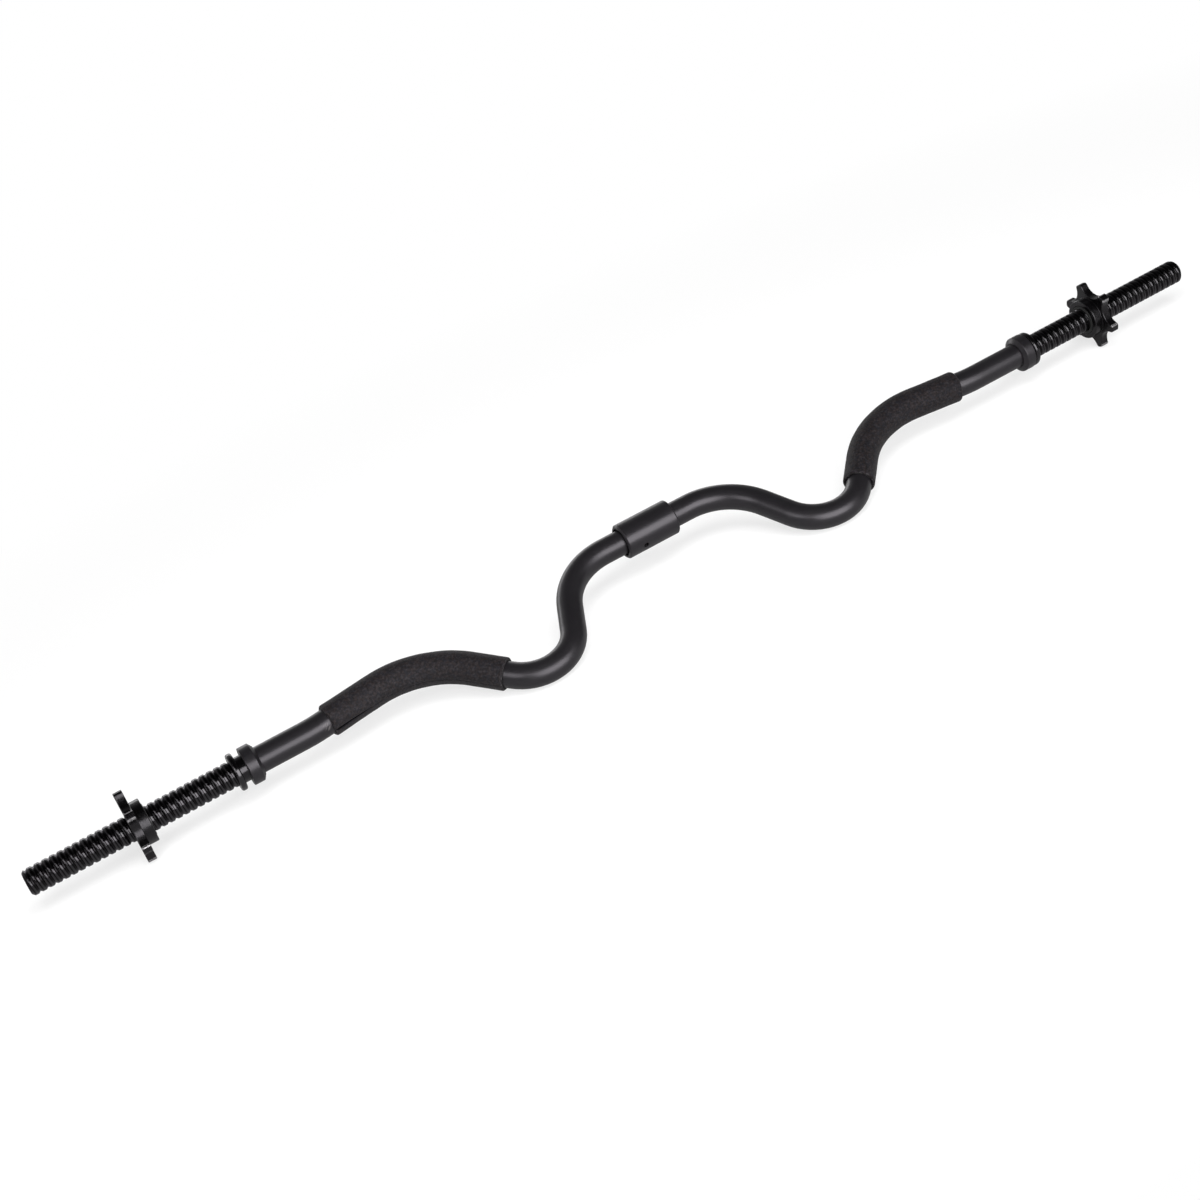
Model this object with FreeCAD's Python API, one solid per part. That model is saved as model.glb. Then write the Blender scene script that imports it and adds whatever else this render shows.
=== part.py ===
import FreeCAD, Part
import math
import os

# EZ curl bar in two halves, lying on a floor. Lengths are millimetres, turns are degrees.
# Every piece is built in the bar's own frame: X along the bar with zero at the middle of the joint,
# Y in the plane of the bends, from the valleys towards the middle, and Z square to that plane.
# The plate ends share one axis at Y = 0. The bar is laid on the floor at the end of the script.

# Shaft: two bent tubes
TUBE_DIAMETER = 25.0
TUBE_WALL = 3.0
MIDDLE_RUN = 48.5
SHOULDER_RADIUS = 68.0
SHOULDER_TURN = 65.0
SLOPE_RUN = 31.0
VALLEY_RADIUS = 44.0
VALLEY_TURN = 112.5
RISE_RUN = 39.0
HUMP_RADIUS = 100.0
HUMP_TURN = 54.5
FALL_RUN = 58.0
LEVEL_RADIUS = 150.0
OUTER_RUN = 69.8

# Foam grips round the outer bends
GRIP_WALL = 3.1
GRIP_EDGE_RADIUS = 1.6
GRIP_INNER_SETBACK = 5.0
GRIP_OUTER_SETBACK = 6.5

# Plate ends: seat, rings and thread
STOP_RING_HEIGHT = 5.45
STOP_RING_THICKNESS = 5.5
STOP_RING_EDGE = 1.8
LEFT_NECK_LENGTH = 6.5
RIGHT_NECK_LENGTH = 1.0
FLANGE_HEIGHT = 5.85
FLANGE_RIM = 10.0
FLANGE_CONE_LENGTH = 3.0
FLANGE_FOOT_HEIGHT = 1.45
FLANGE_EDGE = 0.8
THREAD_LENGTH = 196.5
THREAD_DIAMETER = 24.6
THREAD_DEPTH = 1.4
THREAD_PITCH = 7.1
THREAD_TIP_CHAMFER = 2.2
SPINDLE_SPIGOT_LENGTH = 60.0

# Star nuts and their rubber rings
LOBE_COUNT = 6
LOBE_HEIGHT = 10.8
STAR_ROOT_STEP = 3.0
STAR_THICKNESS = 8.3
STAR_EDGE_RADIUS = 0.7
LOBE_TIP_WIDTH = 8.5
LOBE_CORNER_RADIUS = 2.6
HUB_RIM = 5.2
HUB_LENGTH = 9.0
HUB_EDGE_RADIUS = 0.8
HUB_RECESS_DEPTH = 2.6
NUT_MOUTH_STEP = 0.5
GASKET_WIDTH = 2.5
GASKET_PROUD = 0.6
LEFT_NUT_OFFSET = 95.5
RIGHT_NUT_OFFSET = 83.5
LEFT_LOBE_TURN = 19.5
RIGHT_LOBE_TURN = 19.5

# Coupling in the middle
SLEEVE_WALL = 1.85
SLEEVE_LENGTH = 57.0
SLEEVE_CHAMFER = 1.5
SLEEVE_ROUND = 1.6
SLEEVE_MOUTH_GAP = 1.65
SLEEVE_MOUTH_DEPTH = 4.0
CAPTIVE_RING_WALL = 1.35
CAPTIVE_RING_LENGTH = 6.0
FERRULE_WALL = 2.15
COUPLING_THREAD_DEPTH = 0.8
COUPLING_THREAD_PITCH = 2.5
SCREW_DIAMETER = 5.0
SCREW_RECESS = 1.45
SCREW_SETBACK = 18.0
SCREW_SOCKET_WIDTH = 2.5
SCREW_SOCKET_DEPTH = 1.8
SPIGOT_HELD_SETBACK = 8.5
SPIGOT_FREE_SETBACK = 12.5
SPIGOT_CHAMFER = 1.5
PIN_DIAMETER = 4.0
PIN_SETBACK = 5.0
PIN_END_SETBACK = 0.5

# Thread form, as shares of the pitch
CREST_FLAT_SHARE = 0.46
ROOT_FLAT_SHARE = 0.06

# Clearances, radial or from face to face
WELD_CLEARANCE = 0.05
FOAM_CLEARANCE = 0.1
SCREW_CLEARANCE = 0.15
FACE_CLEARANCE = 0.3
SLIDE_CLEARANCE = 0.35
THREAD_CLEARANCE = 0.4
HALF_JOINT_GAP = 0.2
CUT_OVERRUN = 1.0

# Worked out from the sizes above
LEVEL_TURN = SHOULDER_TURN + HUMP_TURN - VALLEY_TURN
TUBE_RADIUS = TUBE_DIAMETER / 2
BORE_RADIUS = TUBE_RADIUS - TUBE_WALL
WELD_BORE_RADIUS = TUBE_RADIUS + WELD_CLEARANCE
STOP_RING_RADIUS = WELD_BORE_RADIUS + STOP_RING_HEIGHT
FLANGE_RADIUS = WELD_BORE_RADIUS + FLANGE_HEIGHT
THREAD_RADIUS = THREAD_DIAMETER / 2
GASKET_BORE_RADIUS = THREAD_RADIUS + SLIDE_CLEARANCE
GASKET_RADIUS = GASKET_BORE_RADIUS + GASKET_WIDTH
HUB_RECESS_RADIUS = GASKET_RADIUS + SLIDE_CLEARANCE
HUB_RADIUS = HUB_RECESS_RADIUS + HUB_RIM
STAR_ROOT_RADIUS = HUB_RADIUS + STAR_ROOT_STEP
STAR_RADIUS = STAR_ROOT_RADIUS + LOBE_HEIGHT
CAPTIVE_RING_RADIUS = WELD_BORE_RADIUS + CAPTIVE_RING_WALL
COUPLING_THREAD_RADIUS = WELD_BORE_RADIUS + FERRULE_WALL + COUPLING_THREAD_DEPTH
SLEEVE_RADIUS = COUPLING_THREAD_RADIUS + THREAD_CLEARANCE + SLEEVE_WALL
SLEEVE_END = SLEEVE_LENGTH / 2
SLEEVE_LIP_RADIUS = TUBE_RADIUS + SLIDE_CLEARANCE

ORIGIN = FreeCAD.Vector(0, 0, 0)
X_AXIS = FreeCAD.Vector(1, 0, 0)
Y_AXIS = FreeCAD.Vector(0, 1, 0)
Z_AXIS = FreeCAD.Vector(0, 0, 1)
QUARTER = 90.0
HALF_TURN = 180.0
FULL_TURN = 360.0
HEX_SIDES = 6
SAME_SIZE = 1e-6

# A route is a list of legs: ("run", length) or ("bend", radius, turn), a turn towards +Y is positive.
# A station is a point of the route with its heading, in degrees from +X towards +Y.
TO_HUMP = [
    ("run", MIDDLE_RUN),
    ("bend", SHOULDER_RADIUS, -SHOULDER_TURN),
    ("run", SLOPE_RUN),
    ("bend", VALLEY_RADIUS, VALLEY_TURN),
]
OVER_HUMP = [
    ("run", RISE_RUN),
    ("bend", HUMP_RADIUS, -HUMP_TURN),
    ("run", FALL_RUN),
    ("bend", LEVEL_RADIUS, LEVEL_TURN),
    ("run", OUTER_RUN),
]


def direction(heading):
    angle = math.radians(heading)
    return FreeCAD.Vector(math.cos(angle), math.sin(angle), 0)


def bend_centre(point, heading, radius, turn):
    side = math.copysign(QUARTER, turn)
    return point + direction(heading + side) * radius


def step(station, leg):
    """Return the station at the end of one leg."""
    point, heading = station
    if leg[0] == "run":
        return point + direction(heading) * leg[1], heading
    radius, turn = leg[1:]
    centre = bend_centre(point, heading, radius, turn)
    outward = direction(heading - math.copysign(QUARTER, turn) + turn)
    return centre + outward * radius, heading + turn


def walk(station, route):
    for leg in route:
        station = step(station, leg)
    return station


def tube_along(station, route, outer_radius, bore_radius):
    """Return a tube of straight and bent legs, each an exact cylinder or torus."""
    legs = []
    for leg in route:
        point, heading = station
        ahead = direction(heading)
        outer = Part.Face(Part.Wire(Part.makeCircle(outer_radius, point, ahead)))
        bore = Part.Face(Part.Wire(Part.makeCircle(bore_radius, point, ahead)))
        section = outer.cut(bore).Faces[0]
        if leg[0] == "run":
            legs.append(section.extrude(ahead * leg[1]))
        else:
            radius, turn = leg[1:]
            centre = bend_centre(point, heading, radius, turn)
            legs.append(section.revolve(centre, Z_AXIS * math.copysign(1, turn), abs(turn)))
        station = step(station, leg)
    return legs[0].multiFuse(legs[1:]).Solids[0]


def turned(outline):
    """Return the solid of revolution about X of an outline of (x, radius) points."""
    points = [FreeCAD.Vector(x, radius, 0) for x, radius in outline]
    face = Part.Face(Part.makePolygon(points + points[:1]))
    return face.revolve(ORIGIN, X_AXIS, FULL_TURN)


def ring(start, end, outer_radius, bore_radius):
    return turned([(start, bore_radius), (start, outer_radius), (end, outer_radius), (end, bore_radius)])


def rim_edges(shape, x, radius):
    """Return the round edges of a turned shape at one place and radius."""
    found = []
    for edge in shape.Edges:
        curve = edge.Curve
        if isinstance(curve, Part.Circle) and math.isclose(curve.Radius, radius, rel_tol=SAME_SIZE):
            if abs(curve.Center.x - x) < radius * SAME_SIZE:
                found.append(edge)
    return found


def left_side(shape):
    """Turn a piece of the right half half a turn about Y, which keeps right-hand threads right-hand."""
    copy = shape.copy()
    copy.rotate(ORIGIN, Y_AXIS, HALF_TURN)
    return copy


def to_joint_axis(shape):
    return shape.translated(Y_AXIS * MIDDLE_HEIGHT)


def thread_groove(crest_radius, depth, pitch, start, end):
    """Return the groove of a right-hand thread along X, in phase with X = start, past both ends."""
    root_radius = crest_radius - depth
    root_half = pitch * ROOT_FLAT_SHARE / 2
    crest_half = pitch * (1 - CREST_FLAT_SHARE) / 2
    slope = (crest_half - root_half) / depth
    # The flanks run on past the crest, where the groove takes half of the crest's flat.
    top_half = crest_half + pitch * CREST_FLAT_SHARE / 4
    top_radius = crest_radius + (top_half - crest_half) / slope
    outline = [
        FreeCAD.Vector(root_radius, 0, -root_half),
        FreeCAD.Vector(root_radius, 0, root_half),
        FreeCAD.Vector(top_radius, 0, top_half),
        FreeCAD.Vector(top_radius, 0, -top_half),
    ]
    profile = Part.makePolygon(outline + outline[:1])
    sweep = Part.BRepOffsetAPI.MakePipeShell(Part.Wire(Part.makeHelix(pitch, pitch, root_radius).Edges))
    sweep.setBiNormalMode(Z_AXIS)
    sweep.add(profile, False, False)
    sweep.build()
    turn = sweep.shape()
    turns = math.ceil((end - start) / pitch) + 2
    faces = [Part.Face(profile), Part.Face(profile).translated(Z_AXIS * (turns * pitch))]
    for number in range(turns):
        faces.extend(turn.translated(Z_AXIS * (number * pitch)).Faces)
    shell = Part.Shell(faces)
    shell.sewShape()
    groove = Part.Solid(shell)
    groove.rotate(ORIGIN, Y_AXIS, QUARTER)
    groove.translate(X_AXIS * (start - pitch))
    return groove


def thread_cutter(crest_radius, depth, pitch, phase, start, end):
    """Return a plain threaded rod from start to end, grown by the thread clearance, to cut a bore."""
    first = phase + math.floor((start - phase) / pitch) * pitch
    radius = crest_radius + THREAD_CLEARANCE
    groove = thread_groove(radius, depth, pitch, first, end)
    blank = Part.makeCylinder(radius, end - start, X_AXIS * start, X_AXIS)
    return blank.cut(groove).Solids[0]


# Route of one half, with the middle raised so that the plate end lies on the X axis
FULL_ROUTE = TO_HUMP + OVER_HUMP
MIDDLE_HEIGHT = -walk((ORIGIN, 0), FULL_ROUTE)[0].y
MIDDLE_STATION = (Y_AXIS * MIDDLE_HEIGHT, 0)
SEAT_DISTANCE = walk(MIDDLE_STATION, FULL_ROUTE)[0].x
HALF_LENGTH = SEAT_DISTANCE + THREAD_LENGTH
VALLEY_START = walk(MIDDLE_STATION, TO_HUMP[:3])[0]
VALLEY_DEPTH = VALLEY_RADIUS * (1 - math.cos(math.radians(SHOULDER_TURN))) - VALLEY_START.y


def shaft_tube():
    start = (MIDDLE_STATION[0] + X_AXIS * HALF_JOINT_GAP, 0)
    route = [("run", MIDDLE_RUN - HALF_JOINT_GAP)] + FULL_ROUTE[1:]
    return tube_along(start, route, TUBE_RADIUS, BORE_RADIUS)


def left_shaft_tube():
    """The left tube has a slot across its inner end for the alignment pin."""
    width = PIN_DIAMETER + 2 * SLIDE_CLEARANCE
    depth = PIN_SETBACK + width / 2
    slot = Part.makeBox(depth, width, TUBE_DIAMETER + 2 * CUT_OVERRUN)
    slot.translate(FreeCAD.Vector(-depth, -width / 2, -TUBE_RADIUS - CUT_OVERRUN))
    return left_side(shaft_tube()).cut(to_joint_axis(slot)).Solids[0]


def foam_grip():
    hump_start = walk(MIDDLE_STATION, TO_HUMP)
    start = step(hump_start, ("run", GRIP_INNER_SETBACK))
    route = [
        ("run", RISE_RUN - GRIP_INNER_SETBACK),
        ("bend", HUMP_RADIUS, -HUMP_TURN),
        ("run", FALL_RUN - GRIP_OUTER_SETBACK),
    ]
    radius = TUBE_RADIUS + GRIP_WALL
    grip = tube_along(start, route, radius, TUBE_RADIUS + FOAM_CLEARANCE)
    rims = []
    for face in grip.Faces:
        if isinstance(face.Surface, Part.Plane):
            rims.extend(face.OuterWire.Edges)
    return grip.makeFillet(GRIP_EDGE_RADIUS, rims).Solids[0]


def inner_flange(neck_length):
    """The thick flange, coned towards the grip, with its flat face a neck away from the stop ring."""
    face = SEAT_DISTANCE - STOP_RING_THICKNESS - neck_length
    rim_start = face - FLANGE_RIM
    foot = rim_start - FLANGE_CONE_LENGTH
    flange = turned([
        (foot, WELD_BORE_RADIUS),
        (foot, WELD_BORE_RADIUS + FLANGE_FOOT_HEIGHT),
        (rim_start, FLANGE_RADIUS),
        (face, FLANGE_RADIUS),
        (face, WELD_BORE_RADIUS),
    ])
    rims = rim_edges(flange, rim_start, FLANGE_RADIUS) + rim_edges(flange, face, FLANGE_RADIUS)
    return flange.makeFillet(FLANGE_EDGE, rims).Solids[0]


def stop_ring():
    """The thin ring, whose outboard face is the plate seat, flush with the tube's end."""
    inboard = SEAT_DISTANCE - STOP_RING_THICKNESS
    blank = ring(inboard, SEAT_DISTANCE, STOP_RING_RADIUS, WELD_BORE_RADIUS)
    rims = rim_edges(blank, inboard, STOP_RING_RADIUS) + rim_edges(blank, SEAT_DISTANCE, STOP_RING_RADIUS)
    return blank.makeFillet(STOP_RING_EDGE, rims).Solids[0]


def threaded_spindle():
    """The threaded end, from its spigot in the tube to the chamfered tip."""
    blank = turned([
        (SEAT_DISTANCE, 0),
        (SEAT_DISTANCE, THREAD_RADIUS),
        (HALF_LENGTH - THREAD_TIP_CHAMFER, THREAD_RADIUS),
        (HALF_LENGTH, THREAD_RADIUS - THREAD_TIP_CHAMFER),
        (HALF_LENGTH, 0),
    ])
    groove = thread_groove(THREAD_RADIUS, THREAD_DEPTH, THREAD_PITCH, SEAT_DISTANCE, HALF_LENGTH)
    threaded = blank.cut(groove).Solids[0]
    spigot_start = SEAT_DISTANCE - SPINDLE_SPIGOT_LENGTH
    spigot_radius = BORE_RADIUS - WELD_CLEARANCE
    spigot = Part.makeCylinder(spigot_radius, SPINDLE_SPIGOT_LENGTH, X_AXIS * spigot_start, X_AXIS)
    return threaded.fuse(spigot).Solids[0]


# Scallops between the lobes: each circle passes through two lobe corners and touches the root circle
LOBE_SPACING = FULL_TURN / LOBE_COUNT
CORNER_ANGLE = math.radians(LOBE_SPACING / 2) - math.asin(LOBE_TIP_WIDTH / 2 / STAR_RADIUS)
CORNER_REACH = STAR_RADIUS * math.cos(CORNER_ANGLE)
SCALLOP_DISTANCE = (STAR_RADIUS ** 2 - STAR_ROOT_RADIUS ** 2) / (2 * (CORNER_REACH - STAR_ROOT_RADIUS))
SCALLOP_RADIUS = SCALLOP_DISTANCE - STAR_ROOT_RADIUS


def lowest_reach(lobe_turn):
    """Return how far a nut reaches below its axis, with its lowest lobe turned from straight down."""
    centre = STAR_RADIUS - LOBE_CORNER_RADIUS
    to_scallop = SCALLOP_RADIUS + LOBE_CORNER_RADIUS
    cosine = (SCALLOP_DISTANCE ** 2 + centre ** 2 - to_scallop ** 2) / (2 * SCALLOP_DISTANCE * centre)
    corner_turn = LOBE_SPACING / 2 - math.degrees(math.acos(cosine))
    past_corner = max(0, abs(lobe_turn) - corner_turn)
    return centre * math.cos(math.radians(past_corner)) + LOBE_CORNER_RADIUS


# The bar at rest: star lobes and valleys on the floor, so the bends lean by this much
REST_HEIGHT = max(lowest_reach(LEFT_LOBE_TURN), lowest_reach(RIGHT_LOBE_TURN))
LEAN = math.degrees(math.asin((REST_HEIGHT - TUBE_RADIUS) / VALLEY_DEPTH))
NEAR_SIDE = -VALLEY_DEPTH * math.cos(math.radians(LEAN)) - TUBE_RADIUS
FAR_SIDE = max(MIDDLE_HEIGHT * math.cos(math.radians(LEAN)) + SLEEVE_RADIUS, STAR_RADIUS)
AXIS_PLACE = FreeCAD.Vector(0, -(NEAR_SIDE + FAR_SIDE) / 2, REST_HEIGHT)


def star_plate(start):
    """The six-lobed plate: a disc with a round scallop between each two lobes."""
    plate = Part.makeCylinder(STAR_RADIUS, STAR_THICKNESS, ORIGIN, X_AXIS)
    length = STAR_THICKNESS + 2 * CUT_OVERRUN
    scallops = []
    for number in range(LOBE_COUNT):
        base = FreeCAD.Vector(-CUT_OVERRUN, SCALLOP_DISTANCE, 0)
        scallop = Part.makeCylinder(SCALLOP_RADIUS, length, base, X_AXIS)
        scallop.rotate(ORIGIN, X_AXIS, LOBE_SPACING * (number + 1 / 2))
        scallops.append(scallop)
    plate = plate.cut(scallops).Solids[0]
    corners = [edge for edge in plate.Edges if isinstance(edge.Curve, Part.Line)]
    corners = [edge for edge in corners
               if math.hypot(edge.CenterOfMass.y, edge.CenterOfMass.z) > CORNER_REACH]
    plate = plate.makeFillet(LOBE_CORNER_RADIUS, corners)
    outline = []
    for face in plate.Faces:
        if isinstance(face.Surface, Part.Plane):
            outline.extend(face.OuterWire.Edges)
    plate = plate.makeFillet(STAR_EDGE_RADIUS, outline)
    return plate.translated(X_AXIS * start)


def hub_face(offset):
    """Return the place of a nut's inboard face, from the offset of its lobes from the plate seat."""
    return SEAT_DISTANCE + offset - STAR_THICKNESS / 2 - HUB_LENGTH


def star_nut(offset, lobe_turn, side=1):
    """A star nut with its hub inboard and its lowest lobe turned from straight down, towards the valleys.

    The side is 1 on the right and -1 on the left, where the nut is turned round after it is made."""
    hub_start = hub_face(offset)
    star_start = hub_start + HUB_LENGTH
    end = star_start + STAR_THICKNESS
    hub = Part.makeCylinder(HUB_RADIUS, HUB_LENGTH + STAR_THICKNESS / 2, X_AXIS * hub_start, X_AXIS)
    hub = hub.makeFillet(HUB_EDGE_RADIUS, rim_edges(hub, hub_start, HUB_RADIUS))
    recess_floor = hub_start + HUB_RECESS_DEPTH
    recess = Part.makeCylinder(HUB_RECESS_RADIUS, HUB_RECESS_DEPTH + CUT_OVERRUN,
                               X_AXIS * (hub_start - CUT_OVERRUN), X_AXIS)
    bore = thread_cutter(THREAD_RADIUS, THREAD_DEPTH, THREAD_PITCH, SEAT_DISTANCE,
                         recess_floor - CUT_OVERRUN, end + CUT_OVERRUN)
    # Each mouth of the bore is coned at 45 degrees, from wider than the thread to within its root.
    mouth_radius = THREAD_RADIUS + THREAD_CLEARANCE + NUT_MOUTH_STEP
    mouth_depth = THREAD_DEPTH + 2 * NUT_MOUTH_STEP
    mouths = []
    for face, inward in ((recess_floor, 1), (end, -1)):
        mouths.append(turned([
            (face - inward * CUT_OVERRUN, 0),
            (face - inward * CUT_OVERRUN, mouth_radius + CUT_OVERRUN),
            (face + inward * mouth_depth, mouth_radius - mouth_depth),
            (face + inward * mouth_depth, 0),
        ]))
    plate = star_plate(star_start)
    plate.rotate(ORIGIN, X_AXIS, -side * (QUARTER + lobe_turn + LEAN))
    return plate.fuse(hub).Solids[0].cut([recess, bore] + mouths).Solids[0]


def nut_gasket(offset):
    """The rubber ring in the hub's recess, a little proud of the hub."""
    hub_start = hub_face(offset)
    end = hub_start + HUB_RECESS_DEPTH - FACE_CLEARANCE
    return ring(hub_start - GASKET_PROUD, end, GASKET_RADIUS, GASKET_BORE_RADIUS)


# Coupling stations along the bar, from the left mouth of the sleeve to its right end
CAPTIVE_START = -HALF_JOINT_GAP - CAPTIVE_RING_LENGTH
LIP_END = CAPTIVE_START - FACE_CLEARANCE
SCREW_PLACE = -SLEEVE_END + SCREW_SETBACK


def captive_ring():
    return to_joint_axis(ring(CAPTIVE_START, -HALF_JOINT_GAP, CAPTIVE_RING_RADIUS, WELD_BORE_RADIUS))


def threaded_ferrule():
    blank = ring(HALF_JOINT_GAP, SLEEVE_END, COUPLING_THREAD_RADIUS, WELD_BORE_RADIUS)
    groove = thread_groove(COUPLING_THREAD_RADIUS, COUPLING_THREAD_DEPTH, COUPLING_THREAD_PITCH,
                           HALF_JOINT_GAP, SLEEVE_END)
    return to_joint_axis(blank.cut(groove).Solids[0])


def coupling_sleeve():
    """The sleeve: a lip that runs on the left tube, a pocket for the captive ring and a thread."""
    blank = ring(-SLEEVE_END, SLEEVE_END, SLEEVE_RADIUS, SLEEVE_LIP_RADIUS)
    blank = blank.makeChamfer(SLEEVE_CHAMFER, rim_edges(blank, -SLEEVE_END, SLEEVE_RADIUS))
    blank = blank.makeFillet(SLEEVE_ROUND, rim_edges(blank, SLEEVE_END, SLEEVE_RADIUS))
    mouth = Part.makeCylinder(SLEEVE_LIP_RADIUS + SLEEVE_MOUTH_GAP, SLEEVE_MOUTH_DEPTH + CUT_OVERRUN,
                              X_AXIS * (-SLEEVE_END - CUT_OVERRUN), X_AXIS)
    pocket_radius = CAPTIVE_RING_RADIUS + SLIDE_CLEARANCE
    pocket = Part.makeCylinder(pocket_radius, HALF_JOINT_GAP - LIP_END, X_AXIS * LIP_END, X_AXIS)
    thread = thread_cutter(COUPLING_THREAD_RADIUS, COUPLING_THREAD_DEPTH, COUPLING_THREAD_PITCH,
                           HALF_JOINT_GAP, -HALF_JOINT_GAP, SLEEVE_END + CUT_OVERRUN)
    hole = Part.makeCylinder(SCREW_DIAMETER / 2 + SCREW_CLEARANCE, SLEEVE_RADIUS + CUT_OVERRUN,
                             X_AXIS * SCREW_PLACE, -Y_AXIS)
    return to_joint_axis(blank.cut([mouth, pocket, thread, hole]).Solids[0])


def set_screw():
    """The set screw in the sleeve's lip, with a hex socket, on the valley side."""
    tip = TUBE_RADIUS + FACE_CLEARANCE
    head = SLEEVE_RADIUS - SCREW_RECESS
    screw = Part.makeCylinder(SCREW_DIAMETER / 2, head - tip, FreeCAD.Vector(SCREW_PLACE, -tip, 0), -Y_AXIS)
    socket_floor = head - SCREW_SOCKET_DEPTH
    corner_radius = SCREW_SOCKET_WIDTH / 2 / math.cos(math.pi / HEX_SIDES)
    corners = []
    for number in range(HEX_SIDES):
        angle = math.radians(FULL_TURN / HEX_SIDES * number)
        corners.append(FreeCAD.Vector(SCREW_PLACE + corner_radius * math.cos(angle), -socket_floor,
                                      corner_radius * math.sin(angle)))
    hexagon = Part.Face(Part.makePolygon(corners + corners[:1]))
    socket = hexagon.extrude(-Y_AXIS * (SCREW_SOCKET_DEPTH + CUT_OVERRUN))
    return to_joint_axis(screw.cut(socket).Solids[0])


def coupling_spigot():
    """The rod held in the right tube that guides the left tube."""
    held_radius = BORE_RADIUS - WELD_CLEARANCE
    free_radius = BORE_RADIUS - SLIDE_CLEARANCE
    free_end = SPIGOT_FREE_SETBACK - MIDDLE_RUN
    held_end = MIDDLE_RUN - SPIGOT_HELD_SETBACK
    rod = turned([
        (free_end, 0),
        (free_end, free_radius - SPIGOT_CHAMFER),
        (free_end + SPIGOT_CHAMFER, free_radius),
        (HALF_JOINT_GAP, free_radius),
        (HALF_JOINT_GAP, held_radius),
        (held_end, held_radius),
        (held_end, 0),
    ])
    hole_start = FreeCAD.Vector(-PIN_SETBACK, 0, -TUBE_RADIUS)
    hole = Part.makeCylinder(PIN_DIAMETER / 2 + WELD_CLEARANCE, TUBE_DIAMETER, hole_start, Z_AXIS)
    return to_joint_axis(rod.cut(hole).Solids[0])


def alignment_pin():
    reach = TUBE_RADIUS - PIN_END_SETBACK
    start = FreeCAD.Vector(-PIN_SETBACK, 0, -reach)
    return to_joint_axis(Part.makeCylinder(PIN_DIAMETER / 2, 2 * reach, start, Z_AXIS))


def laid_down(shape):
    placed = shape.copy()
    placed.rotate(ORIGIN, X_AXIS, LEAN)
    placed.translate(AXIS_PLACE)
    return placed


def pieces():
    made = {
        "left_shaft_tube": left_shaft_tube(),
        "right_shaft_tube": shaft_tube(),
        "left_star_nut": left_side(star_nut(LEFT_NUT_OFFSET, LEFT_LOBE_TURN, -1)),
        "right_star_nut": star_nut(RIGHT_NUT_OFFSET, RIGHT_LOBE_TURN),
        "left_inner_flange": left_side(inner_flange(LEFT_NECK_LENGTH)),
        "right_inner_flange": inner_flange(RIGHT_NECK_LENGTH),
        "left_nut_gasket": left_side(nut_gasket(LEFT_NUT_OFFSET)),
        "right_nut_gasket": nut_gasket(RIGHT_NUT_OFFSET),
        "coupling_sleeve": coupling_sleeve(),
        "coupling_set_screw": set_screw(),
        "left_captive_ring": captive_ring(),
        "right_threaded_ferrule": threaded_ferrule(),
        "coupling_spigot": coupling_spigot(),
        "alignment_pin": alignment_pin(),
    }
    paired = {
        "threaded_spindle": threaded_spindle(),
        "stop_ring": stop_ring(),
        "foam_grip": foam_grip(),
    }
    for name, shape in paired.items():
        made["right_" + name] = shape
        made["left_" + name] = left_side(shape)
    return made


os.makedirs("parts", exist_ok=True)
for node, piece in pieces().items():
    laid_down(piece).exportStep("parts/" + node + ".step")
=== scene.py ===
import math

import bpy
from mathutils import Matrix, Vector, noise


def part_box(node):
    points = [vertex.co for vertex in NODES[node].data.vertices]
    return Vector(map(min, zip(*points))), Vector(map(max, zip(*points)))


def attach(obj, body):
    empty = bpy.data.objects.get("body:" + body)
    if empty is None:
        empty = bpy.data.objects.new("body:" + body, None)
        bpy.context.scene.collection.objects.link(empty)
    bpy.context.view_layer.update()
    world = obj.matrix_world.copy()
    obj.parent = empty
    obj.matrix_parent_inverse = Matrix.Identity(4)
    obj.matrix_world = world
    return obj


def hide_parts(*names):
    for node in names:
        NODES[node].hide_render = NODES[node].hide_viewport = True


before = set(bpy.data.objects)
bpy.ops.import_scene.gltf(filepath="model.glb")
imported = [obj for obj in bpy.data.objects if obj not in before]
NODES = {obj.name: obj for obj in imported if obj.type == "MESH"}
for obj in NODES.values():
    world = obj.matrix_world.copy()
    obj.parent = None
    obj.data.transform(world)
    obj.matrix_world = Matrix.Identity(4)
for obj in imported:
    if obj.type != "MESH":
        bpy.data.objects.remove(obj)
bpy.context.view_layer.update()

# Looks of a two-piece EZ curl bar: finishes for the metal pieces and modelled foam grips.
# Among the named values, lengths are metres in the frame of the part, and turns and angles are degrees.
SIDES = ("left_", "right_")
QUARTER_TURN = 90.0

# Route of one half from the middle of the joint to the end of the foam grip
MIDDLE_RUN = 0.0485
SHOULDER_RADIUS = 0.068
SHOULDER_TURN = 65.0
SLOPE_RUN = 0.031
VALLEY_RADIUS = 0.044
VALLEY_TURN = 112.5
RISE_RUN = 0.039
HUMP_RADIUS = 0.1
HUMP_TURN = 54.5
FALL_RUN = 0.058
GRIP_INNER_SETBACK = 0.005
GRIP_OUTER_SETBACK = 0.0065
TUBE_RADIUS = 0.0125

# Wall and mouths of the foam grips
GRIP_WALL = 0.0031
GRIP_RADIUS = TUBE_RADIUS + GRIP_WALL
GRIP_CLEARANCE = 0.0001
GRIP_INNER_ROUND = 0.0014
GRIP_OUTER_ROUND = 0.0027
GRIP_MOUTH_FLARE = 0.0005
GRIP_MOUTH_DEPTH = 0.004
MOUTH_GAP = 0.0016
MOUTH_GAP_TURN = 20.0
MOUTH_GAP_REACH = 60.0

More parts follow.
